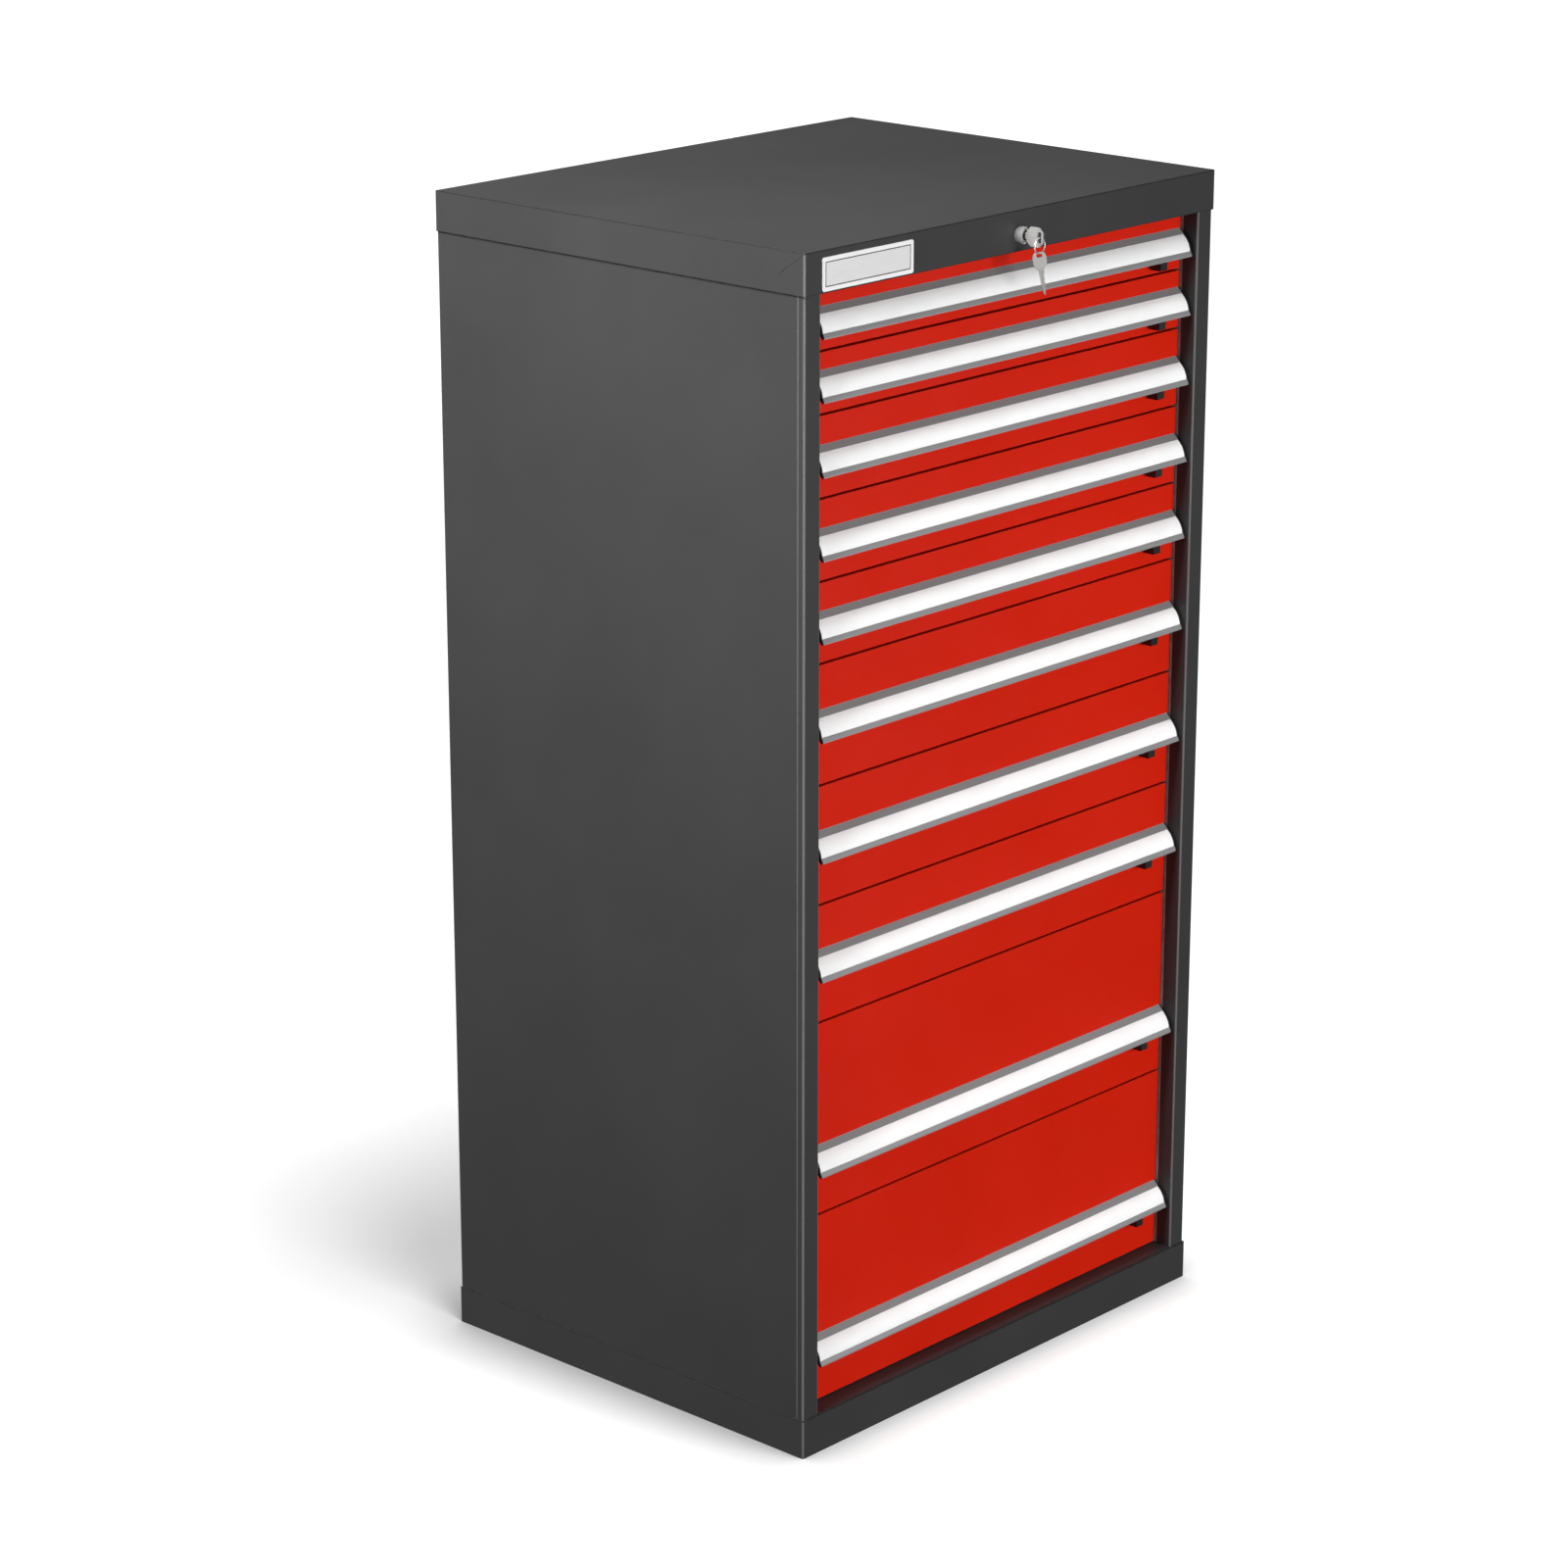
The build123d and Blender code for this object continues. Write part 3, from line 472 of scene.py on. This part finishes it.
# The nameplate stays blank: a panel in a slightly darker tone, with a border line round it.
plate_low, plate_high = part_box("nameplate")
plate_middle = (plate_low + plate_high) / 2
plate_half = (plate_high - plate_low) / 2
LINE_INSET = 5.0 * MM
LINE_WIDTH = 1.2 * MM
LINE_PROUD = 0.06 * MM
LINE_SUNK = 0.02 * MM
LINE_CORNER = 0.8 * MM
PANEL_CORNER = 0.4 * MM


def on_plate(u, v, w):
    """Point on the plate, w in front of its face."""
    return (plate_middle.x + u, plate_low.y - w, plate_middle.z + v)


inner_half = (plate_half.x - LINE_INSET - LINE_WIDTH, plate_half.z - LINE_INSET - LINE_WIDTH)
panel, shape = piece("nameplate_panel", plate_panel, "root")
sweep(shape, rounded_rectangle(0, 0, *inner_half, PANEL_CORNER), on_plate, -LINE_SUNK, LINE_PROUD / 2)
close(panel, shape)
border, shape = piece("nameplate_border", plate_line, "root")
sweep_ring(shape,
           rounded_rectangle(0, 0, plate_half.x - LINE_INSET, plate_half.z - LINE_INSET, LINE_CORNER),
           rounded_rectangle(0, 0, *inner_half, PANEL_CORNER),
           on_plate, -LINE_SUNK, LINE_PROUD)
close(border, shape)

# Split ring: two turns of wire in place of the frame's plain ring.
ring_low, ring_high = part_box("key_ring")
ring_middle = (ring_low + ring_high) / 2
WIRE = 0.6 * MM
RING_RADIUS = (ring_high.x - ring_low.x) / 2 - WIRE
RING_TURNS = 2
RING_START = 0.6  # angle of the wire's first end, in radians
RING_STEPS = 96
WIRE_SIDES = 8
ring_piece, shape = piece("split_ring", chrome, "ring")
rows = []
for i in range(RING_STEPS + 1):
    turn = 2 * math.pi * RING_TURNS * i / RING_STEPS + RING_START
    across = (2 * i / RING_STEPS - 1) * WIRE
    row = []
    for k in range(WIRE_SIDES):
        spin = 2 * math.pi * k / WIRE_SIDES
        radius = RING_RADIUS + WIRE * math.cos(spin)
        row.append(shape.verts.new((ring_middle.x + radius * math.cos(turn),
                                    ring_middle.y + across + WIRE * math.sin(spin),
                                    ring_middle.z + radius * math.sin(turn))))
    rows.append(row)
for first, second in zip(rows, rows[1:]):
    for k in range(WIRE_SIDES):
        n = (k + 1) % WIRE_SIDES
        shape.faces.new((first[k], first[n], second[n], second[k]))
shape.faces.new(rows[0])
shape.faces.new(rows[-1][::-1])
close(ring_piece, shape, smooth=True)
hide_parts("key_ring")

# Spare key: an octagonal bow with a slot, and a cut blade with a groove, hanging from the ring.
KEY_TURN = math.radians(34)
KEY_LEAN = math.radians(10)
KEY_HALF_THICKNESS = 0.9 * MM
GROOVE_HALF_THICKNESS = 0.45 * KEY_HALF_THICKNESS
KEY_SHIFT_BACK = 1.9 * MM
KEY_TOP_RISE = 2.2 * MM  # the bow's top above the ring's lowest point
KEY_ROUNDING = 0.25 * MM
key_origin = Vector((ring_middle.x, ring_middle.y + KEY_SHIFT_BACK, ring_low.z + KEY_TOP_RISE))
key_across = Vector((math.cos(KEY_TURN), -math.sin(KEY_TURN), 0.0))
key_normal = Vector((-math.sin(KEY_TURN), -math.cos(KEY_TURN), 0.0))
lean = Matrix.Rotation(KEY_LEAN, 3, key_normal)


def on_key(u, drop, w):
    """u across the key, drop below the top of its bow, w through its thickness."""
    return key_origin + lean @ (key_across * u - Vector((0.0, 0.0, drop))) + key_normal * w


def key_outline(points):
    """Points given in millimetres as (across, drop)."""
    return [(u * MM, drop * MM) for u, drop in points]


BOW = key_outline([(-4.4, 0), (4.4, 0), (7.5, 2.2), (8.6, 6.5), (8.6, 13.0), (7.2, 17.6), (4.6, 20.0),
                   (-4.6, 20.0), (-7.2, 17.6), (-8.6, 13.0), (-8.6, 6.5), (-7.5, 2.2)])
BOW_SLOT = key_outline([(-2.4, 1.8), (2.4, 1.8), (3.2, 2.4), (3.4, 3.4), (3.4, 4.8), (3.0, 5.6), (2.4, 6.0),
                        (-2.4, 6.0), (-3.0, 5.6), (-3.4, 4.8), (-3.4, 3.4), (-3.2, 2.4)])
NECK = key_outline([(-4.6, 20.0), (4.6, 20.0), (3.2, 23.0), (-3.2, 23.0)])
BLADE_BACK = key_outline([(-3.2, 23.0), (-1.0, 23.0), (-1.0, 52.0), (-1.7, 46.0), (-2.5, 36.0), (-3.0, 28.0)])
BLADE_GROOVE = key_outline([(-1.0, 23.0), (0.5, 23.0), (0.5, 53.0), (-1.0, 52.0)])
BLADE_CUTS = key_outline([(0.5, 23.0), (3.2, 23.0), (3.2, 27.0), (2.1, 28.8), (2.1, 30.2), (2.9, 32.0),
                          (1.7, 34.4), (1.7, 35.8), (2.5, 37.6), (1.6, 39.4), (1.6, 41.0), (2.1, 43.2),
                          (1.3, 45.4), (1.4, 47.2), (0.5, 53.0)])
spare_key, shape = piece("spare_key", spare_key_shaded_nickel, "ring")
sweep_ring(shape, BOW, BOW_SLOT, on_key, -KEY_HALF_THICKNESS, KEY_HALF_THICKNESS)
for outline in (NECK, BLADE_BACK, BLADE_CUTS):
    sweep(shape, outline, on_key, -KEY_HALF_THICKNESS, KEY_HALF_THICKNESS)
sweep(shape, BLADE_GROOVE, on_key, -GROOVE_HALF_THICKNESS, GROOVE_HALF_THICKNESS)
close(spare_key, shape)
rounding = spare_key.modifiers.new("round_edges", "BEVEL")
rounding.width = KEY_ROUNDING
rounding.segments = 2
rounding.limit_method = "ANGLE"


# ---------------------------------------------------------------- stage, light and camera

TARGET = Vector((-0.0837, 0.018, 0.7377))
AZIMUTH = math.radians(-47.403)
ELEVATION = math.radians(17.482)
DISTANCE = 5.7503
back = Vector((math.sin(AZIMUTH) * math.cos(ELEVATION), -math.cos(AZIMUTH) * math.cos(ELEVATION),
               math.sin(ELEVATION)))
camera_data = bpy.data.cameras.new("camera")
camera_data.lens = 103.844
camera_data.sensor_width = 36.0
camera = bpy.data.objects.new("camera", camera_data)
scene.collection.objects.link(camera)
camera.location = TARGET + back * DISTANCE
camera.rotation_mode = "QUATERNION"
camera.rotation_quaternion = (-back).to_track_quat("-Z", "Y")
scene.camera = camera

# Strengths: the surroundings above, below and as the camera sees them, the floor's glow, and the lights.
SKY = 0.16
GROUND = 0.04
BACKDROP = 1.0
FLOOR_GLOW = 0.47
FLOOR_SUN = 2.25
OVERHEAD = 4.0
LEFT_HIGH = 280.0
FRONT = 134.0
BACK_RIGHT = 240.0

object_meshes = bpy.data.collections.new("lit_object")
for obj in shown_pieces():
    object_meshes.objects.link(obj)

FLOOR_HALF = 30.0
FOOT_SHADOW_REACH = 0.12  # how far the painted shadow at the plinth's foot reaches
# Colour of the painted shadow at the plinth's foot.
FOOT_SHADOW_TONE = (0.45, 0.45, 0.45)
floor_mesh = bpy.data.meshes.new("floor")
floor = bpy.data.objects.new("floor", floor_mesh)
scene.collection.objects.link(floor)
shape = bmesh.new()
bmesh.ops.create_grid(shape, x_segments=8, y_segments=8, size=FLOOR_HALF)
shape.to_mesh(floor_mesh)
shape.free()
floor.visible_diffuse = False
floor.visible_glossy = False
floor_only = bpy.data.collections.new("lit_floor")
floor_only.objects.link(floor)
floor_material, tree, shader = new_material("studio_floor")
place = object_coordinates(tree)
tone = ramp(tree, noise(tree, place, 0.8, 2.0), [(0.3, (0.88, 0.88, 0.88)), (0.7, (0.90, 0.90, 0.90))])
# Painted shadow at the plinth's foot: ambient occlusion darkens the floor's colour and glow.
foot_shadow_occlusion = tree.nodes.new("ShaderNodeAmbientOcclusion")
foot_shadow_occlusion.inputs["Distance"].default_value = FOOT_SHADOW_REACH
foot_shadow_mask = remap(tree, foot_shadow_occlusion.outputs["AO"], 0.0, 1.0, 0.5, 1.0)
tree.links.new(mix_colour(tree, foot_shadow_mask, FOOT_SHADOW_TONE, tone), shader.inputs["Base Color"])
tree.links.new(remap(tree, foot_shadow_mask, FLOOR_GLOW * FOOT_SHADOW_TONE[0], FLOOR_GLOW, 0.0, 1.0),
               shader.inputs["Emission Strength"])
shader.inputs["Roughness"].default_value = 0.9
shader.inputs["Specular IOR Level"].default_value = 0.0
shader.inputs["Emission Color"].default_value = (1.0, 1.0, 1.0, 1.0)
floor_mesh.materials.append(floor_material)

world = bpy.data.worlds.new("studio")
world.use_nodes = True
tree = world.node_tree
background = tree.nodes["Background"]
background.inputs["Color"].default_value = (1.0, 1.0, 1.0, 1.0)
direction = tree.nodes.new("ShaderNodeTexCoord")
split = tree.nodes.new("ShaderNodeSeparateXYZ")
tree.links.new(direction.outputs["Generated"], split.inputs["Vector"])
surroundings = remap(tree, split.outputs["Z"], GROUND, SKY, -0.15, 0.15)
rays = tree.nodes.new("ShaderNodeLightPath")
strength = tree.nodes.new("ShaderNodeMix")
tree.links.new(rays.outputs["Is Camera Ray"], strength.inputs["Factor"])
tree.links.new(surroundings, strength.inputs["A"])
strength.inputs["B"].default_value = BACKDROP
tree.links.new(strength.outputs["Result"], background.inputs["Strength"])
scene.world = world
scene.view_settings.view_transform = "Standard"
scene.view_settings.look = "None"


def soft_box(name, place, target, size, size_y, power, receivers):
    """Rectangular light at place that faces target and lights only the receivers."""
    data = bpy.data.lights.new(name, "AREA")
    data.shape = "RECTANGLE"
    data.size = size
    data.size_y = size_y
    data.energy = power
    light = bpy.data.objects.new(name, data)
    scene.collection.objects.link(light)
    light.location = place
    light.rotation_mode = "QUATERNION"
    light.rotation_quaternion = (Vector(target) - Vector(place)).to_track_quat("-Z", "Y")
    light.light_linking.receiver_collection = receivers


# The floor's shadow comes from a sun of its own, which doesn't light the cabinet.
SUN_ELEVATION = math.radians(71)
SUN_SPREAD = math.radians(22)
sun_data = bpy.data.lights.new("floor_sun", "SUN")
sun_data.energy = FLOOR_SUN
sun_data.angle = SUN_SPREAD
sun = bpy.data.objects.new("floor_sun", sun_data)
scene.collection.objects.link(sun)
sun.rotation_euler = (math.pi / 2 - SUN_ELEVATION, 0.0, 0.0)
sun.light_linking.receiver_collection = floor_only
soft_box("overhead", (0.0, 0.0, 4.5), (0.0, 0.001, 0.0), 3.0, 3.0, OVERHEAD, object_meshes)
soft_box("left_high", (-2.4, 0.1, 3.3), (-0.38, 0.1, 1.4), 1.6, 2.2, LEFT_HIGH, object_meshes)
soft_box("front", (0.25, -4.0, 1.0), (0.0, -0.28, 0.75), 2.0, 2.0, FRONT, object_meshes)
soft_box("back_right", (2.6, 3.2, 0.7), (0.1, 0.1, 0.75), 2.0, 0.9, BACK_RIGHT, object_meshes)
